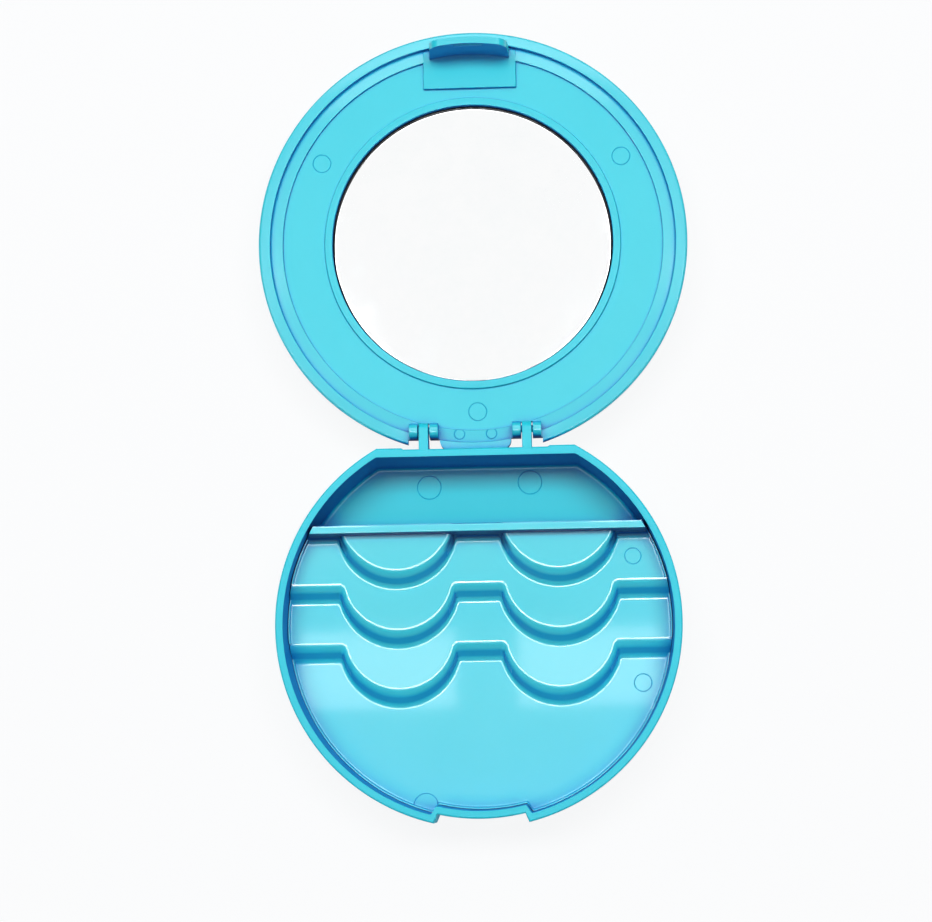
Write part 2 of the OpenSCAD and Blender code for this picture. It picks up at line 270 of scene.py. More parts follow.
def buildBaseShell():
    b = base
    outside = arcPoints(-b["bottomRound"], b["bottomRound"], b["bottomRound"], -90, 0, 6)
    outside += arcPoints(-b["rimRound"], b["height"] - b["rimRound"], b["rimRound"], 0, 90, 5)
    rings = [shellLoop(-x, -x, z, False) for x, z in outside]
    innerTop = b["wall"] - b["rimInner"]
    for x, z in arcPoints(b["rimInner"], -b["rimInner"], b["rimInner"], 90, 180, 4):
        rings.append(shellLoop(innerTop + x, innerTop + x, b["height"] + z, True))
    bottom = b["wall"] + b["draft"]
    backBottom = b["wall"] + b["backDraft"]
    for x, z in arcPoints(b["floorRound"], b["floorRound"], b["floorRound"], 180, 270, 5):
        rings.append(shellLoop(bottom + x, backBottom + x, b["floor"] + z, True))
    shell = loftObject("baseShell", rings)
    rootY = b["backY"] - b["recess"] - b["wall"] / 2
    profile = arcPoints(b["hingeY"], b["hingeZ"], b["lugRadius"], 90, -60, 20)
    profile += [(rootY, b["hingeZ"] - b["armRootDrop"]), (rootY, b["hingeZ"] + b["lugRadius"])]
    arms, bosses = [], []
    for side in (-1, 1):
        x = side * b["armX"]
        arm = pushedObject("arm", profile, "x", x - b["armWidth"] / 2, x + b["armWidth"] / 2)
        arms.append(roundEdges(arm, b["armRound"]))
        reach = b["armWidth"] / 2 + b["bossReach"]
        boss = rodObject("boss", (b["hingeY"], b["hingeZ"]), b["bossRadius"], x - reach, x + reach)
        bosses.append(roundEdges(boss, b["bossRound"]))
    combine(shell, arms + bosses, "UNION")
    for x, y, radius in b["marks"]:
        cutMark(shell, x, y, radius, lambda px, py: b["floor"])
    return finishMesh(shell)


# Lash tray. A mark is (x, y, radius, level), and level 0 is the front floor.

tray = {
    "radius": 48.05, "wall": 1.5, "floorTop": 3.7, "step": 3.5, "pitch": 14.7, "firstEdge": -3.75,
    "lobeRadius": 13.4, "lobeX": 20.2, "lobeBack": 1.9, "cornerRadius": 1.1, "sideSteps": 80,
    "edgeRound": 1.4, "footFillet": 0.9, "slope": 2.95, "edgeFlat": 0.34, "footFlat": 0.26, "softTurn": 0.05,
    "edgeTilt": 12.5, "plainTilt": 1.5, "plainReach": 3.2, "skirt": 0.5, "hollowDrop": 6,
    "partitionY": 25.15, "partitionWidth": 2.45, "partitionTop": 17.3, "partitionSpread": 1.2,
    "partitionRound": 0.45, "partitionLead": 0.35, "partitionEndGap": 0.55,
    "footRound": 1.0, "notchGap": 0.35, "lipRound": 0.85, "lipHeight": 0.8, "lipTop": 0.12, "lipTilt": 15.0,
    "lipFlat": 0.3, "lipRoot": 0.6, "lipSpread": 0.3, "lipSteepest": 86, "lipOverlap": 0.02, "lipReach": 2,
    "edgeBreak": 1.25, "lipBreak": 1.3, "backCut": (-1, 40),
    "marks": [(38.6, 16.4, 2.0, 2), (40.6, -14.9, 2.2, 0), (-14.3, -44.6, 3.0, 0)],
}

# Cutters and slabs end well past the case
beyondX, beyondY, beyondTop = 60, 90, 30


# Height of a tier's flat, and the y of its straight front edge
def tierTop(level):
    return tray["floorTop"] + level * tray["step"]


def tierEdge(level):
    return tray["firstEdge"] + (level - 1) * tray["pitch"]


# Front of one round lash rest about cx, with a rounded inside corner at each end
def lobeFront(cx, grow):
    t = tray
    reach = t["lobeBack"] + grow + t["cornerRadius"]
    dx = math.sqrt((t["lobeRadius"] + grow + t["cornerRadius"]) ** 2 - reach ** 2)
    turn = math.degrees(math.atan2(reach, dx))
    cornerY = -grow - t["cornerRadius"]
    points = arcPoints(cx - dx, cornerY, t["cornerRadius"], 90, turn, 8)
    points += arcPoints(cx, t["lobeBack"], t["lobeRadius"] + grow, 180 + turn, 360 - turn, 56)
    points += arcPoints(cx + dx, cornerY, t["cornerRadius"], 180 - turn, 90, 8)
    return points


# Plan of a tier whose riser has grown forward by grow, its straight edge on the X axis
def tierPlan(grow):
    points = [(beyondX, -grow), (beyondX, beyondY), (-beyondX, beyondY), (-beyondX, -grow)]
    return points + lobeFront(-tray["lobeX"], grow) + lobeFront(tray["lobeX"], grow)


# Growth and drop of a riser: a narrow sloping band, the round edge, the fillet and a narrow band
# at the foot. Both curves start edgeBreak times as steep as the bands, so that an edge shows between.
def riserProfile(bandTilt):
    t = tray
    tilt = math.radians(bandTilt)
    steeper = tilt * t["edgeBreak"]
    flat, soft = t["edgeFlat"], t["softTurn"]
    lead = [(0, 0), (soft, soft * math.tan(tilt / 2))]
    lead.append((flat, lead[-1][1] + (flat - soft) * math.tan(tilt)))
    x0, z0 = lead[-1]
    turn = spread(steeper, math.pi / 2, 9)
    down, across = math.cos(turn[0]), math.sin(turn[0])
    edge = [(x0 + (t["edgeRound"] - x0) * (math.sin(a) - across) / (1 - across),
             z0 + (t["edgeRound"] - z0) * (down - math.cos(a)) / down) for a in turn]
    xEnd = t["edgeRound"] + t["footFillet"]
    foot = [(xEnd - soft, t["step"] - soft * math.tan(tilt / 2))]
    foot.insert(0, (xEnd - t["footFlat"], foot[0][1] - (t["footFlat"] - soft) * math.tan(tilt)))
    x1, z1 = foot[0]
    top = t["step"] - t["footFillet"]
    bend = spread(0, math.pi / 2 - steeper, 9)
    fillet = [(t["edgeRound"] + (x1 - t["edgeRound"]) * (1 - math.cos(a)) / (1 - math.cos(bend[-1])),
               top + (z1 - top) * math.sin(a) / math.sin(bend[-1])) for a in bend[:-1]]
    return lead + edge[1:] + fillet + foot + [(xEnd, t["step"])]


# A tier with its riser leaning forward on the way down. The top tier has plain edges close to
# the partition. With a wall it is the hollow below, drawn in and lowered by that much.
def tierObject(level, wall=0, down=tray["skirt"]):
    t = tray
    z = tierTop(level) - wall
    y = tierEdge(level)
    lean = t["slope"] / t["step"]
    plainFrom = t["partitionY"] - t["partitionWidth"] - t["plainReach"]
    rings = []
    for banded, plain in zip(riserProfile(t["edgeTilt"]), riserProfile(t["plainTilt"])):
        ring = []
        for bandedPoint, plainPoint in zip(tierPlan(banded[0] - wall), tierPlan(plain[0] - wall)):
            nearPartition = level == 3 and bandedPoint[1] + y > plainFrom
            x, forward = plainPoint if nearPartition else bandedPoint
            drop = plain[1] if nearPartition else banded[1]
            ring.append((x, forward + y - lean * drop, z - drop))
        rings.append(ring)
    foot = tierPlan(t["edgeRound"] + t["footFillet"] - wall)
    rings.append([(px, py + y - t["slope"], z - t["step"] - down) for px, py in foot])
    return loftObject("tier", rings)


# Plan of the tray's rim, following the shell's inside at a gap
def trayLoop(inset, z):
    t = tray
    r = t["radius"] - inset
    notchR = base["radius"] - base["notchDepth"] - base["wall"] - t["notchGap"] - inset
    slantX = base["notchHalf"] + base["notchSlant"] + base["notchInnerShift"] + t["notchGap"] / 2
    corner = onCircle(r, t["partitionY"] - inset)
    half = frontHalf(r, notchR, base["notchHalf"], slantX, corner, smoothStep, t["sideSteps"])
    half.append((0, corner[1]))
    return wholePlan(half, z)


# What lies inside the tray's rim drawn in by inset. At the rim itself the foot is rounded.
def trayBoundary(inset, low):
    foot = tray["footRound"]
    rings = [trayLoop(inset, beyondTop), trayLoop(inset, low + foot)]
    if inset:
        rings.append(trayLoop(inset, low))
    else:
        rings += [trayLoop(foot + x, low + foot + z) for x, z in arcPoints(0, 0, foot, 180, 270, 4)[1:]]
    return loftObject("trayBoundary", rings)


# The tray turns up a little where it meets the shell's wall: a crest, a hollow curve and a narrow band
def trayLip(level):
    t = tray
    z = tierTop(level)
    tilt = math.radians(t["lipTilt"])
    reach, rise, flat, soft, root = t["lipRound"], t["lipHeight"], t["lipFlat"], t["softTurn"], t["lipRoot"]
    top = (t["lipTop"], rise)
    foot = (reach - flat, (flat - soft) * math.tan(tilt) + soft * math.tan(tilt / 2))
    steeper = tilt * t["lipBreak"]
    bend = [angle - steeper for angle in spread(math.radians(t["lipSteepest"]), steeper, 8)]
    profile = [(0, -root), (0, rise), top]
    profile += [(mix(foot[0], top[0], (1 - math.cos(a)) / (1 - math.cos(bend[0]))),
                 mix(foot[1], top[1], math.sin(a) / math.sin(bend[0]))) for a in bend[1:]]
    profile += [(reach - soft, soft * math.tan(tilt / 2)), (reach, 0.0), (reach + t["lipSpread"], -root)]
    lip = loftObject("trayLip", [trayLoop(inset, z + up) for inset, up in profile], closed=True)
    if level == 0:
        return lip
    plan = [(px, py + tierEdge(level)) for px, py in tierPlan(t["lipOverlap"])]
    within = pushedObject("tierPlan", plan, "z", z - t["lipReach"], z + t["lipReach"])
    return combine(lip, [within], "INTERSECT")


def partitionObject():
    t = tray
    low = base["floor"] - 1
    back, top, r = t["partitionY"], t["partitionTop"], t["partitionRound"]
    front = back - t["partitionWidth"]
    profile = [(back + 1, low), (back + 1, top - r), (back, top - r)]
    profile += arcPoints(back - r, top - r, r, 0, 70, 4)[1:]
    profile += [(back - r - t["partitionLead"], top)]
    profile += arcPoints(front + r, top - r, r, 90, 180, 5)
    profile += [(front - t["partitionSpread"], low)]
    partition = pushedObject("partition", profile, "x", -beyondX, beyondX)
    return combine(partition, [trayBoundary(t["partitionEndGap"], base["floor"] - 2)], "INTERSECT")


def buildLashTray():
    t = tray
    low = base["floor"]
    slab = rectangle(-beyondX, low - 1, beyondX, t["floorTop"])
    solid = pushedObject("trayFloor", slab, "y", -beyondX, beyondX)
    combine(solid, [tierObject(level) for level in (1, 2, 3)], "UNION")
    combine(solid, [trayBoundary(0, low)], "INTERSECT")
    combine(solid, [trayLip(level) for level in (0, 1, 2)] + [partitionObject()], "UNION")
    cutLow, cutTop = t["backCut"]
    behind = rectangle(-beyondX, cutLow, beyondX, cutTop)
    combine(solid, [pushedObject("behind", behind, "y", t["partitionY"], beyondX)], "DIFFERENCE")
    hollow = tierObject(1, t["wall"], t["hollowDrop"])
    combine(hollow, [tierObject(level, t["wall"], t["hollowDrop"]) for level in (2, 3)], "UNION")
    combine(hollow, [trayBoundary(t["wall"], low - 2)], "INTERSECT")
    front = t["partitionY"] - t["partitionWidth"]
    combine(hollow, [pushedObject("behind", behind, "y", front, beyondX)], "DIFFERENCE")
    combine(solid, [hollow], "DIFFERENCE")
    for x, y, radius, level in t["marks"]:
        cutMark(solid, x, y, radius, lambda px, py: tierTop(level))
    solid.name = "lashTray"
    return finishMesh(solid)


# Lid, drawn lying open behind the base. A mark is (x, y from the lid's centre, radius).

lid = {
    "centreY": 96.4, "crownRadius": 34.0, "bottom": 10.25, "outerRadius": 54.08, "shoulder": 13.35,
    "lip": 14.85, "lipOuterRound": 0.7, "lipDrop": 0.2, "skirtRadius": 51.1,
    "ledge": 13.95, "ledgeDrop": 0.35, "ledgeRadius": 47.9, "floor": 13.05, "floorSlope": 0.3,
    "bezelFoot": 37.35, "bezelRadius": 35.45, "bezelTop": 13.65, "bezelLean": 0.15,
    "pocket": 11.35, "edgeRound": 0.22,
    "tabHalf": 10.2, "tabRadius": 48.45, "tabThick": 2.1, "tabTop": 23.9, "tabCorner": 2.4, "tabDraft": 0.05,
    "tabTaper": 0.035, "tabRoot": 0.5, "tabRound": 0.3, "tabBevelAngle": 50, "tabTurn": 84, "tabTip": 0.99,
    "padHalf": 11.8, "padInner": 39.75, "padOverlap": 1.6, "padRoot": 0.6, "padRound": 0.3,
    "beadHalf": 3.7, "beadRadius": 0.8, "beadProud": 0.4, "beadDrop": 1.6, "beadRound": 0.25,
    "slotHalf": 1.45, "slotEnd": 50.4, "earWidth": 2.2, "earRound": 0.22, "earRoot": 0.2,
    "socketRadius": 0.95, "socketPlay": 0.1, "edgeCutPast": 0.3, "edgeCutEnd": 46.3,
    "lipCorner": 2.3, "lipCutIn": 8.9, "lipCutY": 43.5, "cutFrom": 30,
    "marks": [(-37.9, 21.3, 2.25), (37.9, 21.3, 2.25), (0.6, -43.2, 2.25)],
    "ledgeMarks": [(-4.0, -48.9, 1.3), (4.0, -48.9, 1.3)],
}


# Radius and height, from the outside's crown over the lip and ledge to the mirror's pocket
def lidProfile():
    d = lid
    e, o = d["edgeRound"], d["lipOuterRound"]
    points = [(d["crownRadius"] + (d["outerRadius"] - d["crownRadius"]) * math.sin(a),
               d["shoulder"] - (d["shoulder"] - d["bottom"]) * math.cos(a))
              for a in spread(0, math.pi / 2, 18)]
    points += arcPoints(d["outerRadius"] - o, d["lip"] - d["lipDrop"] - o, o, 0, 82, 7)
    points += arcPoints(d["skirtRadius"] + e, d["lip"] - e, e, 90, 180, 4)
    points += [(d["skirtRadius"], d["ledge"] - d["ledgeDrop"])]
    points += arcPoints(d["ledgeRadius"] + e, d["ledge"] - e, e, 90, 180, 4)
    points += [(d["ledgeRadius"], d["floor"] + d["floorSlope"] / 2),
               (d["bezelFoot"] + d["bezelLean"], d["floor"] - d["floorSlope"] / 2)]
    points += arcPoints(d["bezelFoot"] - e, d["bezelTop"] - e, e, 20, 90, 4)
    points += arcPoints(d["bezelRadius"] + e, d["bezelTop"] - e, e, 90, 180, 4)
    points += [(d["bezelRadius"], d["pocket"])]
    return points


# The tab as slices from its foot up, each a curved strip between two radii. They narrow on the way
# up, and round off towards the top.
def latchTab():
    d = lid
    corner, foot = d["tabCorner"], d["floor"] - d["tabRoot"]
    straight = d["tabTop"] - corner
    levels = [(foot, 0)] + [(z, 0) for z in spread(d["floor"] + 1, straight, 4)]
    levels += [(straight + corner * math.sin(a), corner * (1 - math.cos(a)))
               for a in spread(0, math.radians(d["tabTurn"]), 9)[1:]]
    levels.append((d["tabTop"], corner * d["tabTip"]))
    rings = []
    for z, drawn in levels:
        half = d["tabHalf"] - d["tabDraft"] * (z - foot) - drawn
        outer = d["tabRadius"] + d["tabThick"] - d["tabTaper"] * (z - foot)
        ring = []
        for radius, start in ((d["tabRadius"], -half), (outer, half)):
            for x in spread(start, -start, 24):
                ring.append((x, d["centreY"] + math.sqrt(radius * radius - x * x), z))
        rings.append(ring)
    return roundEdges(loftObject("tab", rings), d["tabRound"], 4, d["tabBevelAngle"])


# Cuts down through the lid's rear edge: a slot for each arm with room beside the ears,
# and a rounded bay in the lip between them
def hingeCuts():
    d = lid
    cuts = []
    for side in (-1, 1):
        x = side * base["armX"]
        wide = d["slotHalf"] + d["earWidth"] + d["edgeCutPast"]
        for name, half, end in (("slot", d["slotHalf"], d["slotEnd"]), ("edgeCut", wide, d["edgeCutEnd"])):
            plan = rectangle(x - half, d["cutFrom"], x + half, end)
            cuts.append(pushedObject(name, plan, "z", 0, beyondTop))
    inX, cutY, corner = d["lipCutIn"] - d["lipCorner"], d["lipCutY"] + d["lipCorner"], d["lipCorner"]
    plan = [(base["armX"], d["cutFrom"]), (-base["armX"], d["cutFrom"]), (-base["armX"], cutY)]
    plan += arcPoints(-inX, cutY, corner, 180, 270, 10) + arcPoints(inX, cutY, corner, 270, 360, 10)
    plan += [(base["armX"], cutY)]
    return cuts + [pushedObject("lipCut", plan, "z", 0, beyondTop)]


def hingeEars():
    d = lid
    low = d["floor"] - d["earRoot"]
    profile = [(base["hingeY"] - base["lugRadius"], low), (base["hingeY"] + base["lugRadius"], low)]
    profile += arcPoints(base["hingeY"], base["hingeZ"], base["lugRadius"], 0, 180, 20)
    ears = []
    for side in (-1, 1):
        for inner in (-1, 1):
            x = side * (base["armX"] + inner * (d["slotHalf"] + d["earWidth"] / 2))
            ear = pushedObject("ear", profile, "x", x - d["earWidth"] / 2, x + d["earWidth"] / 2)
            ears.append(roundEdges(ear, d["earRound"]))
    return ears


def hingeSockets():
    d = lid
    reach = base["armWidth"] / 2 + base["bossReach"] + d["socketPlay"]
    centre = (base["hingeY"], base["hingeZ"])
    return [rodObject("socket", centre, d["socketRadius"], x - reach, x + reach)
            for x in (-base["armX"], base["armX"])]


def buildLidShell():
    d = lid
    cy = d["centreY"]
    shell = turnedObject("lidShell", lidProfile(), cy)
    padBack = cy + d["ledgeRadius"] + d["padOverlap"]
    padPlan = rectangle(-d["padHalf"], cy + d["padInner"], d["padHalf"], padBack)
    pad = pushedObject("pad", padPlan, "z", d["floor"] - d["padRoot"], d["ledge"])
    combine(shell, [roundEdges(pad, d["padRound"], 4)], "UNION")
    combine(shell, hingeCuts(), "DIFFERENCE")
    combine(shell, hingeEars() + [latchTab()], "UNION")
    beadCentre = (cy + d["tabRadius"] + d["beadRadius"] - d["beadProud"], d["tabTop"] - d["beadDrop"])
    bead = rodObject("bead", beadCentre, d["beadRadius"], -d["beadHalf"], d["beadHalf"])
    combine(shell, [roundEdges(bead, d["beadRound"])], "UNION")
    combine(shell, hingeSockets(), "DIFFERENCE")

    def floorHeight(px, py):
        share = (math.hypot(px, py - cy) - d["bezelFoot"]) / (d["ledgeRadius"] - d["bezelFoot"])
        return d["floor"] + d["floorSlope"] * (share - 0.5)

    def ledgeHeight(px, py):
        share = (math.hypot(px, py - cy) - d["ledgeRadius"]) / (d["skirtRadius"] - d["ledgeRadius"])
        return d["ledge"] - d["ledgeDrop"] * share

    for marks, surface in ((d["marks"], floorHeight), (d["ledgeMarks"], ledgeHeight)):
        for x, y, radius in marks:
            cutMark(shell, x, cy + y, radius, surface)
    return finishMesh(shell)


# Mirror, set a little low in its pocket. The bevel's last part is nearly level.

mirror = {
    "centreY": 96.4, "shift": -0.38, "radius": 34.92, "face": 12.65, "thickness": 1.0, "bevel": 0.22,
    "bevelTurn": (0.3, 0.12), "sharpAngle": 12,
}


def buildMirror():
    m = mirror
    back = m["face"] - m["thickness"]
    b = m["bevel"]
    inward, downward = m["bevelTurn"]
    profile = [(m["radius"] - b, back), (m["radius"], back + b), (m["radius"], m["face"] - b),
               (m["radius"] - b * inward, m["face"] - b * downward), (m["radius"] - b, m["face"])]
    return finishMesh(turnedObject("mirrorGlass", profile, m["centreY"] + m["shift"]), m["sharpAngle"])


# Black adhesive: a flat disc with a bead of uneven height squeezed up between mirror and pocket.
# Each ripple is a number of waves round the bead.

adhesive = {
    "floor": 11.37, "height": 0.26, "margin": 1.0, "pocketRadius": 35.42, "mirrorGap": 0.03,
    "beadTop": 12.28, "crestShare": 0.55, "outerDrop": 0.12, "innerDrop": 0.2, "beadRipple": 0.14,
    "ripples": (3, 7, 13, 22, 37, 61), "seed": 7, "sharpAngle": 40,
}


def buildAdhesive():
    d, m = adhesive, mirror
    wave = random.Random(d["seed"])
    ripples = [(n, wave.uniform(0.3, 1.0) / math.sqrt(n), wave.uniform(0, 6.28)) for n in d["ripples"]]
    total = sum(size for _, size, _ in ripples)
    middle = Vector((0, m["centreY"], 0))
    edge, dy, wall = m["radius"] + d["mirrorGap"], m["shift"], d["pocketRadius"]
    discTop = d["floor"] + d["height"]
    rings = [[], [], [], [], [], []]
    for i in range(meshing["turnSteps"]):
        a = 2 * math.pi * i / meshing["turnSteps"]
        unit = Vector((math.cos(a), math.sin(a), 0))
        reach = dy * math.sin(a) + math.sqrt(edge * edge - (dy * math.cos(a)) ** 2)
        height = d["beadTop"] + d["beadRipple"] * sum(s * math.sin(n * a + p) for n, s, p in ripples) / total
        section = ((m["radius"] - d["margin"], discTop), (reach, discTop), (reach, height - d["innerDrop"]),
                   (mix(reach, wall, d["crestShare"]), height), (wall, height - d["outerDrop"]),
                   (wall, d["floor"]))
        for ring, (radius, z) in zip(rings, section):
            ring.append(middle + unit * radius + Vector((0, 0, z)))
    return finishMesh(loftObject("adhesiveDisc", rings), d["sharpAngle"])


# Shader helpers

# A node with its settings. Its inputs are given as values, or as sockets to link.
def addNode(tree, kind, inputs=None, **settings):
    node = tree.nodes.new("ShaderNode" + kind)
    for name, value in settings.items():
        setattr(node, name, value)
    fillSockets(tree, node, inputs or {})
    return node


def fillSockets(tree, node, inputs):
    for key, value in inputs.items():
        if isinstance(value, bpy.types.NodeSocket):
            tree.links.new(value, node.inputs[key])
        elif value is not None:
            node.inputs[key].default_value = value


def mathNode(tree, operation, first, second=None, third=None, clamp=False):
    inputs = {0: first, 1: second, 2: third}
    return addNode(tree, "Math", inputs, operation=operation, use_clamp=clamp).outputs[0]


# value * gain + lift, held between 0 and 1
def ramp(tree, value, gain, lift):
    return mathNode(tree, "MULTIPLY_ADD", value, gain, lift, clamp=True)


def rangeNode(tree, value, low, high):
    return mathNode(tree, "MULTIPLY_ADD", value, high - low, low)


def vectorNode(tree, operation, *values):
    return addNode(tree, "VectorMath", dict(enumerate(values)), operation=operation).outputs


def noiseNode(tree, place, size, detail, roughness, stretch=None):
    if stretch:
        place = addNode(tree, "Mapping", {"Vector": place, "Scale": stretch}).outputs[0]
    inputs = {"Vector": place, "Scale": size, "Detail": detail, "Roughness": roughness}
    return addNode(tree, "TexNoise", inputs).outputs["Fac"]


def mixColour(tree, share, first, second):
    return addNode(tree, "Mix", {"Factor": share, 6: first, 7: second}, data_type="RGBA").outputs[2]


def bumpNode(tree, height, metres):
    return addNode(tree, "Bump", {"Strength": 1.0, "Distance": metres, "Height": height}).outputs["Normal"]


def placeGroup(tree, group, values):
    return addNode(tree, "Group", values, node_tree=group).outputs


# A node group of plain numbers, with the sockets that it is given and the ones it fills
def newGroup(name, inputs, outputs):
    tree = bpy.data.node_groups.new(name, "ShaderNodeTree")
    for socket, value in inputs.items():
        item = tree.interface.new_socket(name=socket, in_out="INPUT", socket_type="NodeSocketFloat")
        item.default_value = value
    for socket in outputs:
        tree.interface.new_socket(name=socket, in_out="OUTPUT", socket_type="NodeSocketFloat")
    return tree, tree.nodes.new("NodeGroupInput").outputs, tree.nodes.new("NodeGroupOutput")


# Effects shared by the materials. Each group puts out masks and heights only.
# Noise sizes, and gains on a place, are per metre.

# Flow of the moulding: slow waves of the surface, fine grain and a cloudy tone
def mouldingGroup():
    inputs = {"Wave Size": 90.0, "Wave Height": 1.0, "Grain Size": 2600.0, "Grain Height": 0.05}
    tree, given, end = newGroup("mouldingFlow", inputs, ("Height", "Tone"))
    place = addNode(tree, "TexCoord").outputs["Object"]
    wave = noiseNode(tree, place, given["Wave Size"], detail=1.5, roughness=0.4)
    grain = noiseNode(tree, place, given["Grain Size"], detail=3.0, roughness=0.6)
    height = mathNode(tree, "ADD", mathNode(tree, "MULTIPLY", wave, given["Wave Height"]),
                      mathNode(tree, "MULTIPLY", grain, given["Grain Height"]))
    cloud = noiseNode(tree, place, size=38.0, detail=4.0, roughness=0.55)
    fillSockets(tree, end, {"Height": height, "Tone": ramp(tree, cloud, gain=2.2, lift=-0.6)})
    return tree


# Use of the thing: hairline scratches, wiped smears and a few specks of dust
def handlingGroup():
    inputs = {"Scratches": 0.3, "Smears": 0.5, "Dust Size": 0.06}
    tree, given, end = newGroup("handlingMarks", inputs, ("Scratch Height", "Smear Mask", "Dust Mask"))
    place = addNode(tree, "TexCoord").outputs["Object"]
    lines = []
    for stretch in ((60, 1900, 60), (1500, 90, 90), (800, 800, 40)):
        thin = noiseNode(tree, place, size=1.0, detail=1.0, roughness=0.5, stretch=stretch)
        lines.append(ramp(tree, thin, gain=14.0, lift=-10.2))
    scratch = mathNode(tree, "MAXIMUM", mathNode(tree, "MAXIMUM", lines[0], lines[1]), lines[2])
    wiped = noiseNode(tree, place, size=120.0, detail=5.0, roughness=0.62)
    smear = ramp(tree, wiped, gain=3.2, lift=-1.25)
    cells = addNode(tree, "TexVoronoi", {"Scale": 160.0, "Vector": place}).outputs
    chosen = addNode(tree, "SeparateColor", {0: cells["Color"]}).outputs[0]
    rarity = 0.965
    rare = mathNode(tree, "GREATER_THAN", chosen, rarity)
    near = mathNode(tree, "LESS_THAN", cells["Distance"], given["Dust Size"])
    fillSockets(tree, end, {"Scratch Height": mathNode(tree, "MULTIPLY", scratch, given["Scratches"]),
                            "Smear Mask": mathNode(tree, "MULTIPLY", smear, given["Smears"]),
                            "Dust Mask": mathNode(tree, "MULTIPLY", rare, near)})
    return tree


# From 0 to 1 as value goes from low to high, with soft ends
def softMask(tree, value, low, high):
    inputs = {"Value": value, "From Min": low, "From Max": high}
    return addNode(tree, "MapRange", inputs, interpolation_type="SMOOTHSTEP").outputs[0]


# Masks for painting shade into the plastic's colour, with lengths in metres. The corner mask paints shade by
# the open space round a point, and on steep walls where they face the middle at Centre Y, or on all of them
# with Any Side at 1. The foot of the outside is left out. The shade mask paints the darkest shade in tight
# corners and on slopes behind Shade From Y, in the partition's shade.
def cornerShadeGroup():
    inputs = {"Reach": 0.006, "Open": 0.8, "Closed": 0.3, "Centre Y": 0.0, "Any Side": 0.0,
              "Wall Share": 0.85, "Shade From Y": 1.0}
    tree, given, end = newGroup("paintedCornerShade", inputs, ("Corner Shade Mask", "Shade Mask", "Steep Mask"))
    space = addNode(tree, "AmbientOcclusion", {"Distance": given["Reach"]}, samples=6).outputs["AO"]
    place = addNode(tree, "TexCoord").outputs
    middle = addNode(tree, "CombineXYZ", {"Y": given["Centre Y"]}).outputs[0]
    outward = vectorNode(tree, "SUBTRACT", place["Object"], middle)[0]
    outward = vectorNode(tree, "MULTIPLY", outward, (1, 1, 0))[0]
    facing = vectorNode(tree, "DOT_PRODUCT", outward, place["Normal"])["Value"]
    inward = mathNode(tree, "MAXIMUM", mathNode(tree, "LESS_THAN", facing, 0.0), given["Any Side"])
    normal = addNode(tree, "SeparateXYZ", {0: place["Normal"]}).outputs
    level = mathNode(tree, "ABSOLUTE", normal["Z"])
    spot = addNode(tree, "SeparateXYZ", {0: place["Object"]}).outputs
    aboveFoot = ramp(tree, spot["Z"], gain=2000.0, lift=-3.2)
    corner = mathNode(tree, "MULTIPLY", softMask(tree, space, given["Open"], given["Closed"]), aboveFoot)
    wall = mathNode(tree, "MULTIPLY", softMask(tree, level, 0.88, 0.4), inward)
    wall = mathNode(tree, "MULTIPLY", wall, given["Wall Share"])
    tight = mathNode(tree, "MULTIPLY", softMask(tree, space, 0.42, 0.12), aboveFoot)
    behind = ramp(tree, mathNode(tree, "SUBTRACT", spot["Y"], given["Shade From Y"]), gain=450.0, lift=0.0)
    behind = mathNode(tree, "MULTIPLY", behind, softMask(tree, level, 0.93, 0.6))
    fillSockets(tree, end, {"Corner Shade Mask": mathNode(tree, "MAXIMUM", corner, wall),
                            "Shade Mask": mathNode(tree, "MAXIMUM", tight, behind),
                            "Steep Mask": softMask(tree, level, 0.45, 0.2)})
    return tree


moulding = mouldingGroup()
handling = handlingGroup()
corners = cornerShadeGroup()

# Materials. waveSize is per metre, lipRadius is where the lid's brushed lip starts, and a piece
# without shadeFromY has no slope in the partition's shade.

plasticLook = {
    # The second and third colours are painted shade: a darker blue for corners and inward walls, and a
    # near-black blue for tight corners and the partition's shade.
    "speck": (0.01, 0.03, 0.05, 1), "cornerShade": (0.001, 0.22, 0.66, 1), "shade": (0.0005, 0.04, 0.20, 1),
    "reach": 6.0, "open": 0.78, "closed": 0.28, "steepRoughness": 0.3, "deepCoat": 0.6, "ior": 1.55,
    "bump": 0.02, "handling": {"Scratches": 0.12, "Smears": 0.5, "Dust Size": 0.05}, "noShadeY": 1000.0,
    "base": {"colour": (0.006, 0.605, 0.69, 1), "paler": (0.013, 0.625, 0.71, 1), "roughness": (0.33, 0.39),
             "specular": 0.28, "coat": 0.0, "coatRoughness": 0.1, "wave": 0.35, "waveSize": 70, "grain": 0.10,
             "centreY": 0.0, "anySide": 0.0},
    "tray": {"colour": (0.038, 0.675, 0.745, 1), "paler": (0.048, 0.695, 0.765, 1), "roughness": (0.25, 0.29),
             "specular": 0.5, "coat": 1.0, "coatRoughness": 0.045, "wave": 1.8, "waveSize": 95, "grain": 0.02,
             "centreY": 0.0, "anySide": 1.0, "shadeFromY": 18.0},
    "lid": {"colour": (0.010, 0.595, 0.67, 1), "paler": (0.018, 0.615, 0.69, 1), "roughness": (0.31, 0.37),
            "specular": 0.3, "coat": 0.12, "coatRoughness": 0.10, "wave": 0.8, "waveSize": 80, "grain": 0.06,
            "centreY": 96.4, "anySide": 0.0, "lipRadius": 48.0, "lipCoat": 0.8, "lipGrain": 0.5},
}


def newMaterial(name):
    material = bpy.data.materials.new(name)
    material.use_nodes = True
    return material, material.node_tree


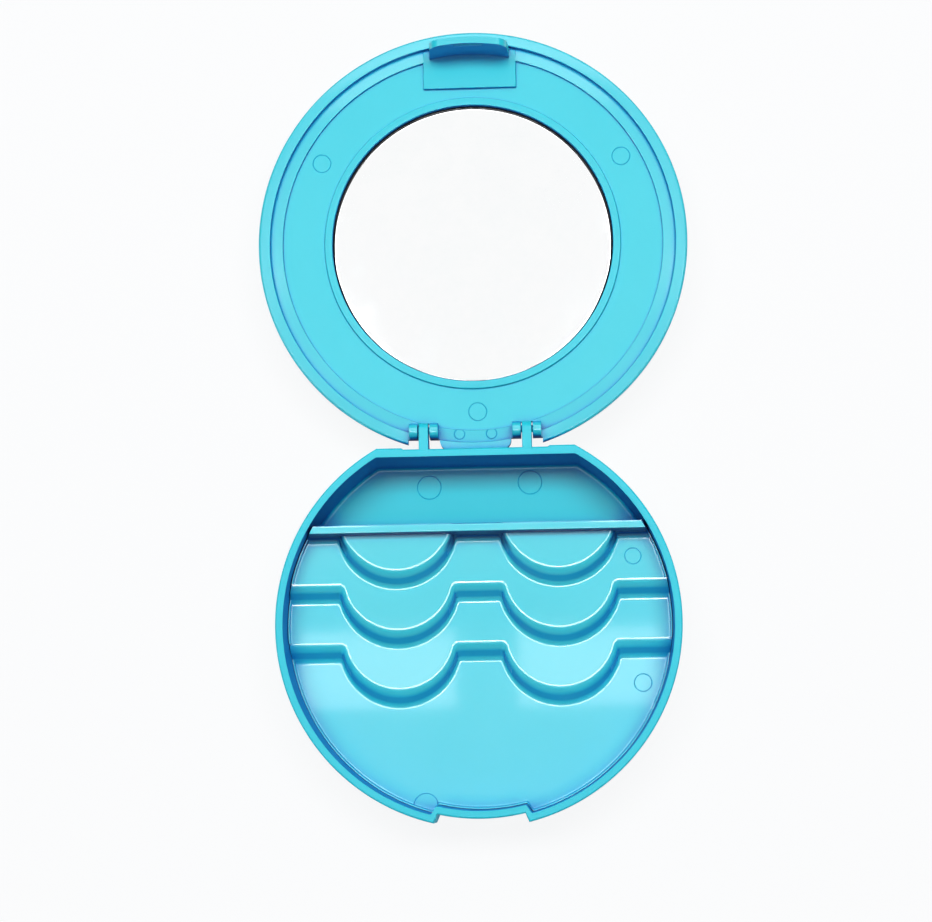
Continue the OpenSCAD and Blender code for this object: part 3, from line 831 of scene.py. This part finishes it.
# A mask that is 1 on the lid's lip, and fine brushed grain there
def lipMask(tree, look):
    place = addNode(tree, "TexCoord").outputs["Object"]
    outward = vectorNode(tree, "MULTIPLY_ADD", place, (1, 1, 0), (0, -look["centreY"] * mm, 0))[0]
    distance = vectorNode(tree, "LENGTH", outward)["Value"]
    onLip = mathNode(tree, "GREATER_THAN", distance, look["lipRadius"] * mm)
    grain = noiseNode(tree, place, size=1500.0, detail=4.0, roughness=0.7)
    return onLip, mathNode(tree, "MULTIPLY", grain, onLip)


def plasticMaterial(piece):
    p = plasticLook
    look = p[piece]
    material, tree = newMaterial(piece + "Plastic")
    flow = placeGroup(tree, moulding, {"Wave Size": look["waveSize"], "Wave Height": look["wave"],
                                       "Grain Height": look["grain"]})
    marks = placeGroup(tree, handling, p["handling"])
    inside = placeGroup(tree, corners, {"Reach": p["reach"] * mm, "Open": p["open"], "Closed": p["closed"],
                                        "Centre Y": look["centreY"] * mm, "Any Side": look["anySide"],
                                        "Shade From Y": look.get("shadeFromY", p["noShadeY"]) * mm})
    tone = mixColour(tree, flow["Tone"], look["colour"], look["paler"])
    # Painted shade: the colour turns a darker blue in corners and on inward walls, and near-black blue in
    # tight corners and in the partition's shade.
    tone = mixColour(tree, inside["Corner Shade Mask"], tone, p["cornerShade"])
    tone = mixColour(tree, inside["Shade Mask"], tone, p["shade"])
    tone = mixColour(tree, marks["Dust Mask"], tone, p["speck"])
    low, high = look["roughness"]
    rough = rangeNode(tree, marks["Smear Mask"], low, high)
    rough = mathNode(tree, "MULTIPLY_ADD", inside["Steep Mask"], p["steepRoughness"], rough)
    height = mathNode(tree, "ADD", flow["Height"], marks["Scratch Height"])
    coat = rangeNode(tree, inside["Corner Shade Mask"], look["coat"], look["coat"] * p["deepCoat"])
    if "lipRadius" in look:
        onLip, brushed = lipMask(tree, look)
        height = mathNode(tree, "MULTIPLY_ADD", brushed, look["lipGrain"], height)
        coat = rangeNode(tree, onLip, look["coat"], look["lipCoat"])
    coat = mathNode(tree, "MULTIPLY", coat, rangeNode(tree, inside["Steep Mask"], 1.0, 0.0))
    fillSockets(tree, tree.nodes["Principled BSDF"], {
        "Base Color": tone, "Roughness": rough, "Normal": bumpNode(tree, height, p["bump"] * mm),
        "Coat Weight": coat, "Coat Roughness": look["coatRoughness"], "IOR": p["ior"],
        "Specular IOR Level": look["specular"]})
    return material


mirrorLook = {
    "clean": (0.955, 0.962, 0.965, 1), "smeared": (0.93, 0.945, 0.95, 1), "speck": (0.6, 0.62, 0.64, 1),
    "roughness": (0.015, 0.06), "handling": {"Scratches": 0.05, "Smears": 1.0, "Dust Size": 0.02},
}


def mirrorMaterial():
    m = mirrorLook
    material, tree = newMaterial("silveredGlass")
    marks = placeGroup(tree, handling, m["handling"])
    tone = mixColour(tree, marks["Smear Mask"], m["clean"], m["smeared"])
    low, high = m["roughness"]
    fillSockets(tree, tree.nodes["Principled BSDF"], {
        "Base Color": mixColour(tree, marks["Dust Mask"], tone, m["speck"]),
        "Roughness": rangeNode(tree, marks["Smear Mask"], low, high), "Metallic": 1.0})
    return material


tapeLook = {
    "dark": (0.006, 0.006, 0.007, 1), "grey": (0.016, 0.016, 0.018, 1), "speck": (0.25, 0.27, 0.28, 1),
    "roughness": (0.22, 0.5), "handling": {"Scratches": 0.0, "Smears": 0.8, "Dust Size": 0.08},
    "flow": {"Wave Size": 900, "Wave Height": 3.0, "Grain Height": 0.4}, "bump": 0.03,
}


def tapeMaterial():
    t = tapeLook
    material, tree = newMaterial("blackAdhesive")
    flow = placeGroup(tree, moulding, t["flow"])
    marks = placeGroup(tree, handling, t["handling"])
    tone = mixColour(tree, flow["Tone"], t["dark"], t["grey"])
    low, high = t["roughness"]
    fillSockets(tree, tree.nodes["Principled BSDF"], {
        "Base Color": mixColour(tree, marks["Dust Mask"], tone, t["speck"]),
        "Roughness": rangeNode(tree, marks["Smear Mask"], low, high),
        "Normal": bumpNode(tree, flow["Height"], t["bump"] * mm)})
    return material


def dress(obj, material):
    obj.data.materials.clear()
    obj.data.materials.append(material)


def settle(obj, material, body, node):
    dress(obj, material)
    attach(obj, body)
    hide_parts(node)
    print(obj.name, "built,", len(obj.data.polygons), "faces")


settle(buildBaseShell(), plasticMaterial("base"), "base", "base_shell")
settle(buildLashTray(), plasticMaterial("tray"), "base", "lash_tray")
settle(buildLidShell(), plasticMaterial("lid"), "lid", "lid_shell")
settle(buildMirror(), mirrorMaterial(), "lid", "mirror")
settle(buildAdhesive(), tapeMaterial(), "lid", "mirror_adhesive")


# Floor, world and lamps. Places and widths here are metres, powers are watts, and each radiance
# is what a reflection of that lamp shows. overheadReach and the horizon's values are heights of
# a unit direction, and gap is a range of its Y over its Z.

studio = {
    "floorColour": (0.82, 0.82, 0.82, 1), "floorGlow": 0.9, "floorHalf": 3.0,
    "fillColour": (0.44, 0.68, 1.0, 1), "fill": 0.30, "overhead": 1.0, "lowRoom": 0.15,
    "overheadReach": 0.86, "overheadGain": 25.0, "horizon": 0.15, "horizonGain": 10.0, "horizonTop": 6.0,
    "gap": (0.054, 0.145), "gapGain": 100.0, "gapLevel": 0.3,
    "key": {"place": (0.0, 0.40, 1.15), "target": (0, 0.04, 0), "width": 1.3, "depth": 0.35, "watts": 12.9},
    "back": {"place": (0.0, 0.86, 1.1), "target": (0, 0.1, 0), "width": 1.3, "depth": 0.4, "watts": 6.0},
    "ring": {"height": 1.10, "centre": (-0.04, 0.09), "target": (0, 0.02, 0), "sideTilt": 25.8,
             "frontTilt": 21.8, "reach": 116, "count": 18, "width": 0.10, "overlap": 1.02, "radiance": 18.0},
    "glints": [{"x": -0.107, "y": 0.036, "width": 0.105, "depth": 0.052, "radiance": 3.6},
               {"x": 0.036, "y": 0.036, "width": 0.096, "depth": 0.052, "radiance": 3.6},
               {"x": -0.185, "y": 0.215, "width": 0.15, "depth": 0.09, "radiance": 12.0},
               {"x": 0.100, "y": 0.215, "width": 0.12, "depth": 0.09, "radiance": 12.0},
               {"x": -0.215, "y": 0.32, "width": 0.14, "depth": 0.12, "radiance": 3.0},
               {"x": 0.140, "y": 0.32, "width": 0.14, "depth": 0.12, "radiance": 4.0}],
    "glintHeight": 1.05,
}


def lightPathMasks(tree):
    path = addNode(tree, "LightPath").outputs
    glossy = mathNode(tree, "MAXIMUM", path["Is Glossy Ray"], path["Is Transmission Ray"])
    return path["Is Camera Ray"], glossy


def floorMaterial():
    material, tree = newMaterial("paleFloor")
    tree.nodes.clear()
    matt = addNode(tree, "BsdfDiffuse", {"Color": studio["floorColour"]}).outputs[0]
    glow = addNode(tree, "Emission").outputs[0]
    share = mathNode(tree, "MULTIPLY", mathNode(tree, "MAXIMUM", *lightPathMasks(tree)), studio["floorGlow"])
    blend = addNode(tree, "MixShader", {0: share, 1: matt, 2: glow}).outputs[0]
    addNode(tree, "OutputMaterial", {"Surface": blend})
    return material


# White for the camera and a soft blue fill for the object. Reflections see a room that is white
# overhead, with a dim gap across it, dimmer low down and a little lighter at the horizon.
def worldLight():
    s = studio
    world = bpy.data.worlds.new("studio")
    bpy.context.scene.world = world
    world.use_nodes = True
    tree = world.node_tree
    tree.nodes.clear()
    way = addNode(tree, "SeparateXYZ", {0: addNode(tree, "TexCoord").outputs["Generated"]}).outputs
    above = ramp(tree, way["Z"], s["overheadGain"], -s["overheadGain"] * s["overheadReach"])
    level = rangeNode(tree, above, s["lowRoom"], s["overhead"])
    lean = mathNode(tree, "DIVIDE", way["Y"], mathNode(tree, "MAXIMUM", way["Z"], 0.01))
    fromY, toY = s["gap"]
    gap = mathNode(tree, "MULTIPLY", ramp(tree, lean, s["gapGain"], -s["gapGain"] * fromY),
                   ramp(tree, lean, -s["gapGain"], s["gapGain"] * toY))
    level = mathNode(tree, "MULTIPLY", level, rangeNode(tree, gap, 1.0, s["gapLevel"]))
    low = ramp(tree, way["Z"], -s["horizonGain"], s["horizonTop"])
    level = mathNode(tree, "MULTIPLY_ADD", low, s["horizon"], level)
    fill = addNode(tree, "Background", {"Color": s["fillColour"], "Strength": s["fill"]}).outputs[0]
    room = addNode(tree, "Background", {"Color": (1, 1, 1, 1), "Strength": level}).outputs[0]
    white = addNode(tree, "Background", {"Color": (1, 1, 1, 1)}).outputs[0]
    camera, glossy = lightPathMasks(tree)
    unseen = addNode(tree, "MixShader", {0: glossy, 1: fill, 2: room}).outputs[0]
    whole = addNode(tree, "MixShader", {0: camera, 1: unseen, 2: white}).outputs[0]
    addNode(tree, "OutputWorld", {"Surface": whole})


# A rectangular lamp at place that looks at target, its width along the direction given by along
def areaLight(name, place, target, width, depth, watts, along=(1, 0, 0)):
    data = bpy.data.lights.new(name, "AREA")
    data.shape = "RECTANGLE"
    data.size = width
    data.size_y = depth
    data.energy = watts
    lamp = bpy.data.objects.new(name, data)
    bpy.context.scene.collection.objects.link(lamp)
    aim = (Vector(target) - Vector(place)).normalized()
    side = Vector(along)
    side = (side - aim * side.dot(aim)).normalized()
    up = aim.cross(side)
    lamp.matrix_world = Matrix.Translation(place) @ Matrix((side, -up, -aim)).transposed().to_4x4()
    return lamp


# Middles of the ring's corners: an open oval about the case, wider at its sides than in front
def ringSpots():
    ring = studio["ring"]
    cx, cy = ring["centre"]
    spots = []
    for angle in spread(-ring["reach"], ring["reach"], ring["count"]):
        a = math.radians(angle)
        tilt = math.radians(mix(ring["frontTilt"], ring["sideTilt"], math.sin(a) ** 2))
        reach = ring["height"] * math.tan(tilt)
        spots.append(Vector((cx + reach * math.sin(a), cy - reach * math.cos(a), ring["height"])))
    return spots


# The key, a little behind the case, lights it. The other lamps stand for the bright edges
# of a light tent and only show as glints.
def makeLamps():
    key = areaLight("key", **studio["key"])
    key.visible_glossy = False
    shining = [areaLight("back", **studio["back"])]
    ring, spots = studio["ring"], ringSpots()
    for index, (here, there) in enumerate(zip(spots, spots[1:])):
        along = there - here
        length = along.length * ring["overlap"]
        watts = ring["radiance"] * math.pi * length * ring["width"]
        shining.append(areaLight("ring%02d" % index, (here + there) / 2, ring["target"],
                                 length, ring["width"], watts, along))
    for index, panel in enumerate(studio["glints"]):
        x, y, width, depth = panel["x"], panel["y"], panel["width"], panel["depth"]
        watts = panel["radiance"] * math.pi * width * depth
        place = (x, y, studio["glintHeight"])
        shining.append(areaLight("glint%d" % index, place, (x, y, 0), width, depth, watts))
    for lamp in shining:
        lamp.visible_diffuse = False


floorCorners = rectangle(*[corner * studio["floorHalf"] / mm for corner in (-1, -1, 1, 1)])
floorObject = meshObject("floor", [(x, y, 0) for x, y in floorCorners], [(0, 1, 2, 3)])
dress(floorObject, floorMaterial())
worldLight()
makeLamps()
print("studio built")

# Camera, nearly straight above. sensor is millimetres, and nearest and farthest are metres.

view = {
    "place": (22.0, -38.0, 620.0), "tilt": 6.341, "yaw": 2.332, "roll": -0.9363, "focalPixels": 2450,
    "shiftPixels": 45, "widthPixels": 932, "sensor": 36, "nearest": 0.01, "farthest": 20,
}


def makeCamera():
    data = bpy.data.cameras.new("camera")
    data.sensor_width = view["sensor"]
    data.lens = view["focalPixels"] * data.sensor_width / view["widthPixels"]
    data.shift_y = view["shiftPixels"] / view["widthPixels"]
    data.clip_start = view["nearest"]
    data.clip_end = view["farthest"]
    camera = bpy.data.objects.new("camera", data)
    bpy.context.scene.collection.objects.link(camera)
    turn = Matrix.Identity(4)
    for angle, axis in ((view["yaw"], "Y"), (view["tilt"], "X"), (view["roll"], "Z")):
        turn = turn @ Matrix.Rotation(math.radians(angle), 4, axis)
    camera.matrix_world = Matrix.Translation(Vector(view["place"]) * mm) @ turn
    bpy.context.scene.camera = camera


makeCamera()
bpy.context.scene.view_settings.view_transform = "Standard"
print("camera set")
